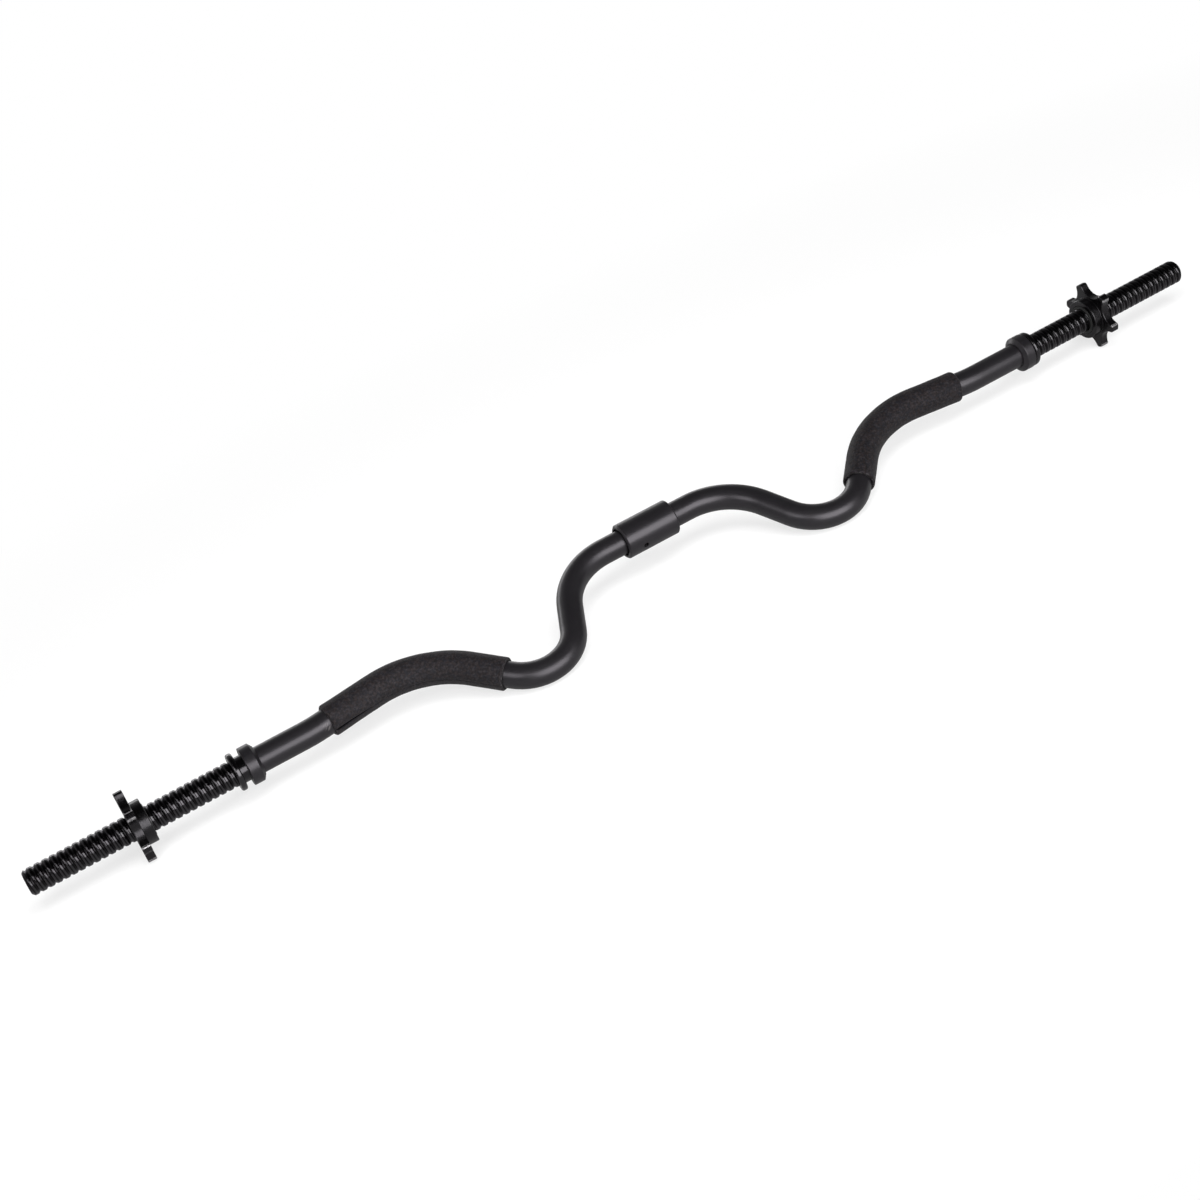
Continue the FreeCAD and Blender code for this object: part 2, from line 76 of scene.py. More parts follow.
# Uneven skin of the foam grips: a fractal noise has its falloff, its step in size and its octaves
GRIP_OUTER_SWELL = 0.0003
GRIP_SWELL_REACH = 0.018
GRIP_STRETCH = 0.00025
STRETCH_REACH_SHARE = 1.3
GRIP_UNEVENNESS = 0.00014
GRIP_UNEVEN_SIZE = 0.014
UNEVEN_FRACTAL = (1.0, 2.0, 3)
GRIP_SEEDS = {"left_foam_grip": 3.0, "right_foam_grip": 11.0}

# Cut ends and seam of the foam grips, whose open seam gets painted shade
CUT_EDGE = "cut_edge"
CUT_REACH = 0.0016
FRAY = 0.0006
FRAY_REACH = 0.006
FRAY_SIZE = 0.003
SEAM_DEPTH = 0.0003
SEAM_OPEN_DEPTH = 0.0024
SEAM_OPEN_REACH = 0.045
SEAM_WIDTH = 0.0008
SEAM_REACH = 3 * SEAM_WIDTH
SEAM_ANGLES = {"left_foam_grip": 185.0, "right_foam_grip": -100.0}
# Point attribute that carries the painted shade of the open seam
SLIT_SHADE = "slit_shade"
SLIT_SHADE_DEPTH = 0.001

# Mesh of the foam grips
RING_STEP = 0.0012
RING_POINTS = 88
SEAM_POINTS = 5
EDGE_POINTS = 6
BORE_STEPS = 40

# Shared by the finishes: a noise has its features in a metre and its octaves, and may have its roughness
NOISE_ROUGHNESS = 0.55
NOISE_SPAN = (0.3, 0.7)
RISING = (0.0, 1.0)
FALLING = (1.0, 0.0)
BEVEL_SAMPLES = 6
GLOSS_COLOURS = ((0.0006, 0.0005, 0.0006), (0.0016, 0.0015, 0.0017))
GLOSS_SPECULAR_TINT = (0.98, 0.94, 1.0, 1.0)
WHITE = (1.0, 1.0, 1.0, 1.0)

# Sockets of a Mix node, which share their names
MIX_VALUES = (2, 3)
MIX_VALUE_RESULT = 0
MIX_COLOURS = (6, 7)
MIX_COLOUR_RESULT = 2

# Satin black coat
COAT_PEEL_NOISE = (1100.0, 2.0)
COAT_PEEL_DEPTH = 0.00006
COAT_CLOUD_NOISE = (28.0, 5.0)
COAT_COLOURS = ((0.0064, 0.0059, 0.0068), (0.0090, 0.0084, 0.0095))
COAT_ROUGHNESS = (0.29, 0.36)
COAT_ROUND = 0.0004
COAT_IOR = 1.49
COAT_SPECULAR_TINT = (0.98, 0.93, 1.0, 1.0)
DUST_NOISE = (2600.0, 1.0)
DUST_SPAN = (0.74, 0.82)
DUST_SHARES = (0.0, 0.5)
DUST_COLOUR = (0.06, 0.06, 0.06)
RIGHT_NECK_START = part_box("right_inner_flange")[1].x
LEFT_NECK_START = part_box("left_inner_flange")[0].x
NECK_BLEND = 0.0004
NECK_ROUGHNESS = 0.15
NECK_COLOUR = (0.0015, 0.0014, 0.0016)
SCUFF_SETBACK = 0.005
SCUFF_ANGLE = 212.0
SCUFF_REACH = 0.0042
SCUFF_TURN = -40.0
SCUFF_STRETCH = (1300.0, 100.0, 100.0)
SCUFF_DETAIL = 1.0
SCUFF_SPAN = (0.5, 0.6)
SCUFF_COLOUR = (0.10, 0.09, 0.09)

# Threads: the crests' places are shares of the pitch, where the angle round the axis is zero
DRAG_STRETCH = (1000.0, 60.0, 60.0)
DRAG_DETAIL = 3.0
DRAG_DEPTH = 0.00002
PATCH_NOISE = (90.0, 4.0)
THREAD_ROUGHNESS = (0.10, 0.17)
THREAD_IOR = 1.61
CREST_ROUND = 0.0018
# Painted shade: between these radii the threads' grooves are darkened.
ROOT_RADIUS = 0.0111
FLANK_RADIUS = 0.0115
CREST_RADIUS = 0.0120
ROOT_PAINTED_SHADE = 0.65
RING_MARGIN = 0.0002
THREAD_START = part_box("right_stop_ring")[1].x + RING_MARGIN
THREAD_PITCH = 0.0071
HALF_PITCH_SHARE = 0.5
LEFT_CREST_SHARE = 0.332
RIGHT_CREST_SHARE = 0.567
# The fold along each crest is real; the dark line drawn on it is painted shade.
CREASE_WIDTH_SHARE = 0.04
CREASE_BLEND_SHARE = 0.05
CREASE_PAINTED_SHADE = 0.9

# Star nuts
CASTING_WAVE_NOISE = (220.0, 2.0)
CASTING_WAVE_DEPTH = 0.00006
CASTING_GRAIN_NOISE = (1500.0, 2.0)
CASTING_GRAIN_DEPTH = 0.00001
CASTING_ROUGHNESS = (0.22, 0.28)
CASTING_ROUND = 0.0011
CASTING_IOR = 1.46
LOBE_COUNT = 6
LOBE_ANGLE = -109.5
CORNER_ANGLE = 7.0
CORNER_REACH = 2.4
CORNER_RADIUS = 0.0322
CORNER_BLEND = 0.0006
WEAR_TOP = 0.88
WEAR_BLEND = 0.04
WEAR_SPAN = (0.35, 0.5)
WEAR_SHARES = (0.2, 1.0)
BARE_IRON = (0.36, 0.35, 0.36)

# Foam
FOAM_MOTTLE_NOISE = (60.0, 6.0, 0.65)
FOAM_TINT_NOISE = (360.0, 2.0, 0.5)
FOAM_SPECKLE_NOISE = (520.0, 2.0, 0.5)
FOAM_GRAIN_NOISE = (900.0, 3.0)
FOAM_GRAIN_DEPTH = 0.0001
FOAM_WARM_COLOURS = ((0.0062, 0.0040, 0.0040), (0.0110, 0.0074, 0.0072))
FOAM_COOL_SPAN = (0.40, 0.60)
FOAM_COOL_COLOUR = (0.0042, 0.0044, 0.0066)
FOAM_DARK_SPAN = (0.48, 0.36)
FOAM_DARK_SHARES = (0.0, 0.85)
FOAM_DARK_COLOUR = (0.0008, 0.0007, 0.0008)
FOAM_PALE_SPAN = (0.53, 0.66)
FOAM_PALE_SHARES = (0.0, 0.8)
FOAM_PALE_COLOUR = (0.018, 0.0157, 0.0172)
FOAM_CELLS = 1100.0
FOAM_CELL_SPAN = (0.0, 0.6)
FOAM_PORE_DEPTH = 0.00016
# Painted shade darkens the pits of the pores.
FOAM_PORE_SPAN = (0.0, 0.5)
FOAM_PORE_SHADE_SHARES = (0.35, 0.0)
FOAM_PORE_SHADE_COLOUR = (0.0020, 0.0018, 0.0019)
FOAM_CUT_SPAN = (0.52, 0.64)
FOAM_CUT_SHARES = (0.0, 0.7)
FOAM_CUT_COLOUR = (0.040, 0.036, 0.037)
FOAM_SLIT_SHADE_COLOUR = (0.0002, 0.0002, 0.0002)
FOAM_ROUGHNESS = (0.62, 0.78)
# Painted shade: the right grip reflects less than the left, for the dimmer light at the right end.
FOAM_SPECULAR_RIGHT_SHADED = {"left_foam_grip": 0.3, "right_foam_grip": 0.22}
FOAM_SPECULAR_TINT = (0.98, 0.93, 0.97, 1.0)
FOAM_SHEEN = 0.04
FOAM_SHEEN_ROUGHNESS = 0.5

# Rubber and bare steel
BLOOM_NOISE = (300.0, 4.0)
BLOOM_DEPTH = 0.00004
RUBBER_COLOURS = ((0.009, 0.009, 0.009), (0.018, 0.018, 0.018))
RUBBER_ROUGHNESS = (0.6, 0.75)
TURNED_STRETCH = (6000.0, 120.0, 120.0)
TURNED_DETAIL = 3.0
TURNED_DEPTH = 0.000015
STAIN_NOISE = (120.0, 5.0)
STEEL_COLOURS = ((0.30, 0.29, 0.28), (0.52, 0.51, 0.50))
STEEL_ROUGHNESS = (0.25, 0.42)

# Camera, found from the bar's outline in the photograph
CAMERA_PLACE = (-0.5560, -1.3659, 0.9179)
CAMERA_TURN = (56.925, 15.167, -28.833)
CAMERA_LENS = 54.228
SENSOR_WIDTH = 36.0

# Lights, which all face the origin
KEY_PLACE = (0.30, -1.65, 0.70)
KEY_SIZE = (1.9, 1.3)
KEY_POWER = 44.0
SIDE_PLACE = (-1.14, -0.80, 0.98)
SIDE_SIZE = (0.8, 0.8)
SIDE_POWER = 8.0
BACK_PLACE = (0.0, 1.9, 0.30)
BACK_SIZE = (2.6, 0.5)
BACK_POWER = 9.0
TOP_PLACE = (0.0, -0.65, 1.9)
TOP_SIZE = (2.0, 1.0)
TOP_POWER = 42.0

# Room and floor
ROOM_BRIGHT_SIDE = (-0.6, 0.8, 0.0)
ROOM_SIDE_SPAN = (-0.3, 0.8)
ROOM_SIDE_SHARES = (0.15, 1.0)
ROOM_HEIGHT_SPAN = (0.5, 0.95)
ROOM_BRIGHT = 0.42
FLOOR_SIZE = 40.0
FLOOR_WHITE = (0.9, 0.9, 0.9)
FLOOR_BOUNCE = (0.7, 0.7, 0.7)
FLOOR_MIRRORED = (0.27, 0.27, 0.27)
FLOOR_STRETCH = (1.0, 2.0, 1.0)
FLOOR_GLOW_SPAN = (0.8, 1.6)
FLOOR_GLOW_SHARES = (0.68, 1.0)
MIRRORED_SHARE = 0.25


def new_material(name):
    """Return a material with its node tree and the tree's surface shader."""
    material = bpy.data.materials.new(name)
    material.use_nodes = True
    tree = material.node_tree
    return material, tree, tree.nodes["Principled BSDF"]


def add(tree, kind, **values):
    """Add a node and set its inputs by name."""
    node = tree.nodes.new(kind)
    for name, value in values.items():
        node.inputs[name].default_value = value
    return node


def object_coordinates(tree):
    return tree.nodes.new("ShaderNodeTexCoord").outputs["Object"]


def attribute(tree, name):
    node = tree.nodes.new("ShaderNodeAttribute")
    node.attribute_name = name
    return node.outputs["Fac"]


def parted(tree, vector):
    """Return the X, Y and Z sockets of a vector."""
    node = tree.nodes.new("ShaderNodeSeparateXYZ")
    tree.links.new(vector, node.inputs["Vector"])
    return node.outputs


def mapped(tree, place, **values):
    """Return coordinates that are turned or scaled."""
    node = add(tree, "ShaderNodeMapping", **values)
    tree.links.new(place, node.inputs["Vector"])
    return node.outputs["Vector"]


def noise_texture(tree, place, scale, detail, roughness=NOISE_ROUGHNESS):
    node = add(tree, "ShaderNodeTexNoise", Scale=scale, Detail=detail, Roughness=roughness)
    tree.links.new(place, node.inputs["Vector"])
    return node.outputs["Fac"]


def stretched_noise(tree, place, stretch, detail):
    """Return a noise that has its own number of features in a metre along each axis."""
    return noise_texture(tree, mapped(tree, place, Scale=stretch), 1.0, detail)


def ranged(tree, value, span, result):
    """Map a value from one pair of limits to another and clamp it there."""
    node = tree.nodes.new("ShaderNodeMapRange")
    node.inputs["From Min"].default_value, node.inputs["From Max"].default_value = span
    node.inputs["To Min"].default_value, node.inputs["To Max"].default_value = result
    tree.links.new(value, node.inputs["Value"])
    return node.outputs["Result"]


def mixed_colour(tree, share, *colours):
    """Mix two colours, each a colour or a socket, by a socket's value."""
    node = tree.nodes.new("ShaderNodeMix")
    node.data_type = "RGBA"
    for number, colour in zip(MIX_COLOURS, colours):
        if isinstance(colour, tuple):
            node.inputs[number].default_value = (*colour, 1.0)
        else:
            tree.links.new(colour, node.inputs[number])
    tree.links.new(share, node.inputs["Factor"])
    return node.outputs[MIX_COLOUR_RESULT]


def mixed_value(tree, share, socket, number):
    """Mix a socket's value with a number by another socket's value."""
    node = tree.nodes.new("ShaderNodeMix")
    first, second = MIX_VALUES
    tree.links.new(socket, node.inputs[first])
    node.inputs[second].default_value = number
    tree.links.new(share, node.inputs["Factor"])
    return node.outputs[MIX_VALUE_RESULT]


def calculated(tree, operation, first, second=None):
    """Return a sum on one or two values, each a number or a socket."""
    node = tree.nodes.new("ShaderNodeMath")
    node.operation = operation
    for socket, value in zip(node.inputs, (first, second)):
        if isinstance(value, (int, float)):
            socket.default_value = value
        elif value is not None:
            tree.links.new(value, socket)
    return node.outputs["Value"]


def vector_sum(tree, operation, socket, vector=None):
    """Return the outputs of a sum on a vector's socket and, where it takes one, a fixed vector."""
    node = tree.nodes.new("ShaderNodeVectorMath")
    node.operation = operation
    tree.links.new(socket, node.inputs[0])
    if vector is not None:
        node.inputs[1].default_value = vector
    return node.outputs


def bumped(tree, height, distance, under=None):
    node = add(tree, "ShaderNodeBump", Strength=1.0, Distance=distance)
    tree.links.new(height, node.inputs["Height"])
    if under is not None:
        tree.links.new(under, node.inputs["Normal"])
    return node.outputs["Normal"]


def softened_edges(tree, radius):
    """Return normals that turn over sharp edges on a small radius, as a coat of paint does."""
    node = add(tree, "ShaderNodeBevel", Radius=radius)
    node.samples = BEVEL_SAMPLES
    return node.outputs["Normal"]


def axis_polar(tree, place):
    """Return the distance from the plate ends' axis and the angle round it in radians."""
    sides = parted(tree, vector_sum(tree, "SUBTRACT", place, PLATE_AXIS)["Vector"])
    squares = [calculated(tree, "MULTIPLY", sides[axis], sides[axis]) for axis in ("Y", "Z")]
    radius = calculated(tree, "SQRT", calculated(tree, "ADD", *squares))
    return radius, calculated(tree, "ARCTAN2", sides["Z"], sides["Y"])


def scuff(tree, place):
    """Return 1 on the fine scratches beside the left grip's outer end and 0 elsewhere."""
    away = vector_sum(tree, "DISTANCE", place, SCUFF_PLACE)["Value"]
    near = ranged(tree, away, (SCUFF_REACH / 2, SCUFF_REACH), FALLING)
    turned = mapped(tree, place, Rotation=(0.0, math.radians(SCUFF_TURN), 0.0))
    lines = stretched_noise(tree, turned, SCUFF_STRETCH, SCUFF_DETAIL)
    return calculated(tree, "MULTIPLY", near, ranged(tree, lines, SCUFF_SPAN, RISING))


def powder_coat():
    """Satin black coating with a fine orange peel, a faint cloudiness, a little dust and a scuff.

    The necks outboard of the flanges have the gloss of the threads."""
    material, tree, shader = new_material("satin_black_coat")
    place = object_coordinates(tree)
    along_bar = parted(tree, place)["X"]
    right = ranged(tree, along_bar, (RIGHT_NECK_START, RIGHT_NECK_START + NECK_BLEND), RISING)
    left = ranged(tree, along_bar, (LEFT_NECK_START, LEFT_NECK_START - NECK_BLEND), RISING)
    neck = calculated(tree, "MAXIMUM", right, left)
    peel = noise_texture(tree, place, *COAT_PEEL_NOISE)
    cloud = noise_texture(tree, place, *COAT_CLOUD_NOISE)
    dust = ranged(tree, noise_texture(tree, place, *DUST_NOISE), DUST_SPAN, DUST_SHARES)
    colour = mixed_colour(tree, cloud, *COAT_COLOURS)
    colour = mixed_colour(tree, dust, colour, DUST_COLOUR)
    colour = mixed_colour(tree, neck, colour, NECK_COLOUR)
    colour = mixed_colour(tree, scuff(tree, place), colour, SCUFF_COLOUR)
    tree.links.new(colour, shader.inputs["Base Color"])
    satin = ranged(tree, cloud, NOISE_SPAN, COAT_ROUGHNESS)
    tree.links.new(mixed_value(tree, neck, satin, NECK_ROUGHNESS), shader.inputs["Roughness"])
    edges = softened_edges(tree, COAT_ROUND)
    tree.links.new(bumped(tree, peel, COAT_PEEL_DEPTH, under=edges), shader.inputs["Normal"])
    shader.inputs["IOR"].default_value = COAT_IOR
    shader.inputs["Specular Tint"].default_value = COAT_SPECULAR_TINT
    return material


def painted_crease_shade(tree, place, radius, angle):
    """Return the painted shade along the fold that rolling leaves on the crest of a plate end's thread: the
    fold is real, its darkness is painted shade.
    """
    along_bar = parted(tree, place)["X"]
    pitches = calculated(tree, "DIVIDE", along_bar, THREAD_PITCH)
    turns = calculated(tree, "SUBTRACT", pitches, calculated(tree, "DIVIDE", angle, math.tau))
    on_left = calculated(tree, "LESS_THAN", along_bar, 0.0)
    crest = ranged(tree, on_left, RISING, (RIGHT_CREST_SHARE, LEFT_CREST_SHARE))
    from_crest = calculated(tree, "PINGPONG", calculated(tree, "SUBTRACT", turns, crest), HALF_PITCH_SHARE)
    edge = (CREASE_WIDTH_SHARE, CREASE_WIDTH_SHARE + CREASE_BLEND_SHARE)
    crease_shade = ranged(tree, from_crest, edge, (CREASE_PAINTED_SHADE, 0.0))
    threaded = calculated(tree, "GREATER_THAN", calculated(tree, "ABSOLUTE", along_bar), THREAD_START)
    outside = calculated(tree, "GREATER_THAN", radius, CREST_RADIUS)
    return calculated(tree, "MULTIPLY", crease_shade, calculated(tree, "MULTIPLY", threaded, outside))


def gloss_thread():
    """Gloss black finish of the threads, with drag marks round the bar, creased crests, and painted shade in
    the grooves and on the creases.
    """
    material, tree, shader = new_material("gloss_black_thread")
    place = object_coordinates(tree)
    drag = stretched_noise(tree, place, DRAG_STRETCH, DRAG_DETAIL)
    patch = noise_texture(tree, place, *PATCH_NOISE)
    tree.links.new(mixed_colour(tree, patch, *GLOSS_COLOURS), shader.inputs["Base Color"])
    # Painted shade: a black metal mirrors almost nothing, so the flanks are made dark, and the roots and the
    # creases nearly so, as if they lay in shade.
    radius, angle = axis_polar(tree, place)
    below_crest = ranged(tree, radius, (FLANK_RADIUS, CREST_RADIUS), FALLING)
    above_root = ranged(tree, radius, (ROOT_RADIUS, FLANK_RADIUS), (ROOT_PAINTED_SHADE, 1.0))
    groove_painted_shade = calculated(tree, "MULTIPLY", below_crest, above_root)
    crease_shade = painted_crease_shade(tree, place, radius, angle)
    tree.links.new(calculated(tree, "MAXIMUM", groove_painted_shade, crease_shade), shader.inputs["Metallic"])
    tree.links.new(ranged(tree, patch, NOISE_SPAN, THREAD_ROUGHNESS), shader.inputs["Roughness"])
    edges = softened_edges(tree, CREST_ROUND)
    tree.links.new(bumped(tree, drag, DRAG_DEPTH, under=edges), shader.inputs["Normal"])
    shader.inputs["IOR"].default_value = THREAD_IOR
    shader.inputs["Specular Tint"].default_value = GLOSS_SPECULAR_TINT
    return material


def lobe_corners(tree, place):
    """Return 1 at the corners of a star nut's lobes, except the topmost, and 0 away from them."""
    radius, angle = axis_polar(tree, place)
    from_lobe = calculated(tree, "SUBTRACT", angle, math.radians(LOBE_ANGLE))
    from_middle = calculated(tree, "PINGPONG", from_lobe, math.pi / LOBE_COUNT)
    past_corner = calculated(tree, "SUBTRACT", from_middle, math.radians(CORNER_ANGLE))
    reach = math.radians(CORNER_REACH)
    near = ranged(tree, calculated(tree, "ABSOLUTE", past_corner), (reach / 2, reach), FALLING)
    outside = ranged(tree, radius, (CORNER_RADIUS, CORNER_RADIUS + CORNER_BLEND), RISING)
    low = ranged(tree, calculated(tree, "SINE", angle), (WEAR_TOP, WEAR_TOP - WEAR_BLEND), RISING)
    return calculated(tree, "MULTIPLY", calculated(tree, "MULTIPLY", near, outside), low)


def gloss_casting():
    """Gloss black enamel over a casting whose surface waves a little, worn at the corners of the lobes."""
    material, tree, shader = new_material("gloss_black_casting")
    place = object_coordinates(tree)
    wave = noise_texture(tree, place, *CASTING_WAVE_NOISE)
    grain = noise_texture(tree, place, *CASTING_GRAIN_NOISE)
    patchy = ranged(tree, wave, WEAR_SPAN, WEAR_SHARES)
    worn = calculated(tree, "MULTIPLY", lobe_corners(tree, place), patchy)
    colour = mixed_colour(tree, wave, *GLOSS_COLOURS)
    colour = mixed_colour(tree, worn, colour, BARE_IRON)
    tree.links.new(colour, shader.inputs["Base Color"])
    tree.links.new(worn, shader.inputs["Metallic"])
    tree.links.new(ranged(tree, wave, NOISE_SPAN, CASTING_ROUGHNESS), shader.inputs["Roughness"])
    edges = softened_edges(tree, CASTING_ROUND)
    waved = bumped(tree, wave, CASTING_WAVE_DEPTH, under=edges)
    tree.links.new(bumped(tree, grain, CASTING_GRAIN_DEPTH, under=waved), shader.inputs["Normal"])
    shader.inputs["IOR"].default_value = CASTING_IOR
    shader.inputs["Specular Tint"].default_value = GLOSS_SPECULAR_TINT
    return material


def foam(name):
    """Closed-cell foam: matte, brownish black, with fine pores, a mottled skin, pale cuts, painted shade in
    the pores and painted shade in the open seam.
    """
    material, tree, shader = new_material(name + "_rubber")
    place = object_coordinates(tree)
    mottle = noise_texture(tree, place, *FOAM_MOTTLE_NOISE)
    tint = noise_texture(tree, place, *FOAM_TINT_NOISE)
    speckle = noise_texture(tree, place, *FOAM_SPECKLE_NOISE)
    grain = noise_texture(tree, place, *FOAM_GRAIN_NOISE)
    cells = add(tree, "ShaderNodeTexVoronoi", Scale=FOAM_CELLS)
    tree.links.new(place, cells.inputs["Vector"])
    pores = ranged(tree, cells.outputs["Distance"], FOAM_CELL_SPAN, RISING)
    cut_spots = ranged(tree, tint, FOAM_CUT_SPAN, FOAM_CUT_SHARES)
    cut = calculated(tree, "MULTIPLY", attribute(tree, CUT_EDGE), cut_spots)
    slit_shade = attribute(tree, SLIT_SHADE)
    colour = mixed_colour(tree, ranged(tree, mottle, NOISE_SPAN, RISING), *FOAM_WARM_COLOURS)
    for share, layer in (
        (ranged(tree, tint, FOAM_COOL_SPAN, RISING), FOAM_COOL_COLOUR),
        (ranged(tree, speckle, FOAM_DARK_SPAN, FOAM_DARK_SHARES), FOAM_DARK_COLOUR),
        (ranged(tree, speckle, FOAM_PALE_SPAN, FOAM_PALE_SHARES), FOAM_PALE_COLOUR),
        # Painted shade in the pits of the pores
        (ranged(tree, pores, FOAM_PORE_SPAN, FOAM_PORE_SHADE_SHARES), FOAM_PORE_SHADE_COLOUR),
        (cut, FOAM_CUT_COLOUR),
        (slit_shade, FOAM_SLIT_SHADE_COLOUR),
    ):
        colour = mixed_colour(tree, share, colour, layer)
    tree.links.new(colour, shader.inputs["Base Color"])
    # Painted shade: the open seam is made near black and metallic, so it mirrors nothing, as its inside lies
    # in shade.
    tree.links.new(slit_shade, shader.inputs["Metallic"])
    tree.links.new(ranged(tree, grain, NOISE_SPAN, FOAM_ROUGHNESS), shader.inputs["Roughness"])
    pitted = bumped(tree, pores, FOAM_PORE_DEPTH)
    tree.links.new(bumped(tree, grain, FOAM_GRAIN_DEPTH, under=pitted), shader.inputs["Normal"])
    # Painted shade: the right grip's lower specular level stands for the dimmer light there.
    shader.inputs["Specular IOR Level"].default_value = FOAM_SPECULAR_RIGHT_SHADED[name]
    shader.inputs["Specular Tint"].default_value = FOAM_SPECULAR_TINT
    shader.inputs["Sheen Weight"].default_value = FOAM_SHEEN
    shader.inputs["Sheen Roughness"].default_value = FOAM_SHEEN_ROUGHNESS
    return material


def rubber():
    """Soft black rubber with a dull bloom."""
    material, tree, shader = new_material("black_rubber")
    bloom = noise_texture(tree, object_coordinates(tree), *BLOOM_NOISE)
    tree.links.new(mixed_colour(tree, bloom, *RUBBER_COLOURS), shader.inputs["Base Color"])
    tree.links.new(ranged(tree, bloom, NOISE_SPAN, RUBBER_ROUGHNESS), shader.inputs["Roughness"])
    tree.links.new(bumped(tree, bloom, BLOOM_DEPTH), shader.inputs["Normal"])
    return material


def turned_steel():
    """Bare turned steel with fine rings and a trace of oil stain."""
    material, tree, shader = new_material("turned_steel")
    place = object_coordinates(tree)
    rings = stretched_noise(tree, place, TURNED_STRETCH, TURNED_DETAIL)
    stain = noise_texture(tree, place, *STAIN_NOISE)
    tree.links.new(mixed_colour(tree, stain, *STEEL_COLOURS), shader.inputs["Base Color"])
    tree.links.new(ranged(tree, rings, NOISE_SPAN, STEEL_ROUGHNESS), shader.inputs["Roughness"])
    tree.links.new(bumped(tree, rings, TURNED_DEPTH), shader.inputs["Normal"])
    shader.inputs["Metallic"].default_value = 1.0
    return material


def heading_vector(heading):
    angle = math.radians(heading)
    return Vector((math.cos(angle), math.sin(angle), 0.0))


def along(station, leg, distance):
    """Return the point and heading that lie a distance into one leg of a route."""
    point, heading = station
    if leg[0] == "run":
        return point + heading_vector(heading) * distance, heading
    radius, turn = leg[1:]
    side = math.copysign(QUARTER_TURN, turn)
    centre = point + heading_vector(heading + side) * radius
    new_heading = heading + math.copysign(math.degrees(distance / radius), turn)
    return centre + heading_vector(new_heading - side) * radius, new_heading


def leg_length(leg):
    return leg[1] if leg[0] == "run" else leg[1] * math.radians(abs(leg[2]))


def walk(station, route, distance=None):
    """Return the station at the end of a route, or a distance along it."""
    left = sum(map(leg_length, route)) if distance is None else distance
    for leg in route:
        length = leg_length(leg)
        if left <= length:
            return along(station, leg, left)
        station = along(station, leg, length)
        left -= length
    return station


def route_point(station, angle, radius):
    """Return a point a radius away from a route's station, at an angle in radians round it."""
    point, heading = station
    across = heading_vector(heading + QUARTER_TURN)
    spoke = across * math.cos(angle) + Vector((0, 0, math.sin(angle)))
    return point + spoke * radius


def box_middle(node):
    low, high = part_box(node)
    return (low + high) / 2


# The bends lie in a plane through the plate ends' axis and the middle of the sleeve.
PLATE_AXIS = box_middle("right_threaded_spindle") * Vector((0, 1, 1))
MIDDLE_OFFSET = box_middle("coupling_sleeve") * Vector((0, 1, 1)) - PLATE_AXIS
LEAN = math.atan2(MIDDLE_OFFSET.z, MIDDLE_OFFSET.y)
LAID_DOWN = Matrix.Translation(PLATE_AXIS) @ Matrix.Rotation(LEAN, 4, "X")
LEFT_LAID_DOWN = LAID_DOWN @ Matrix.Rotation(math.pi, 4, "Y")

TO_GRIP = [
    ("run", MIDDLE_RUN),
    ("bend", SHOULDER_RADIUS, -SHOULDER_TURN),
    ("run", SLOPE_RUN),
    ("bend", VALLEY_RADIUS, VALLEY_TURN),
    ("run", GRIP_INNER_SETBACK),
]
GRIP_ROUTE = [
    ("run", RISE_RUN - GRIP_INNER_SETBACK),
    ("bend", HUMP_RADIUS, -HUMP_TURN),
    ("run", FALL_RUN - GRIP_OUTER_SETBACK),
]
GRIP_START = walk((Vector((0, MIDDLE_OFFSET.length, 0)), 0.0), TO_GRIP)
GRIP_LENGTH = sum(map(leg_length, GRIP_ROUTE))
HUMP_HALF = leg_length(GRIP_ROUTE[1]) / 2
HUMP_MIDDLE = leg_length(GRIP_ROUTE[0]) + HUMP_HALF
PAST_GRIP = along(walk(GRIP_START, GRIP_ROUTE), ("run", SCUFF_SETBACK), SCUFF_SETBACK)
SCUFF_PLACE = LEFT_LAID_DOWN @ route_point(PAST_GRIP, math.radians(SCUFF_ANGLE), TUBE_RADIUS)


def grip_end(rounding):
    """Return one end of the wall as (distance from the end, radius, share of skin, share of mouth)."""
    inner = TUBE_RADIUS + GRIP_CLEARANCE
    outline = [(GRIP_MOUTH_DEPTH, inner, 0.0, 0.0), (0.0, inner + GRIP_MOUTH_FLARE, 0.0, 1.0)]
    for number in range(EDGE_POINTS + 1):
        share = number / EDGE_POINTS
        angle = math.pi / 2 * share
        distance = rounding * (1 - math.cos(angle))
        radius = GRIP_RADIUS - rounding * (1 - math.sin(angle))
        outline.append((distance, radius, share, 0.0))
    return outline


def between(first, last, steps):
    """Return outline points evenly between two, with the first point's radius and shares."""
    start, *rest = first
    reach = last[0] - start
    return [(start + reach * number / steps, *rest) for number in range(1, steps)]


def grip_outline():
    """Return the grip's wall, all round it, as (distance along, radius, share of skin, share of mouth)."""
    inner_end = grip_end(GRIP_INNER_ROUND)
    outer_end = [(GRIP_LENGTH - point[0], *point[1:]) for point in grip_end(GRIP_OUTER_ROUND)]
    skin_steps = round((outer_end[-1][0] - inner_end[-1][0]) / RING_STEP)
    skin = between(inner_end[-1], outer_end[-1], skin_steps)
    bore = between(outer_end[0], inner_end[0], BORE_STEPS)
    return inner_end + skin + outer_end[::-1] + bore


def smooth_step(value):
    value = min(max(value, 0.0), 1.0)
    return value * value * (3 - 2 * value)


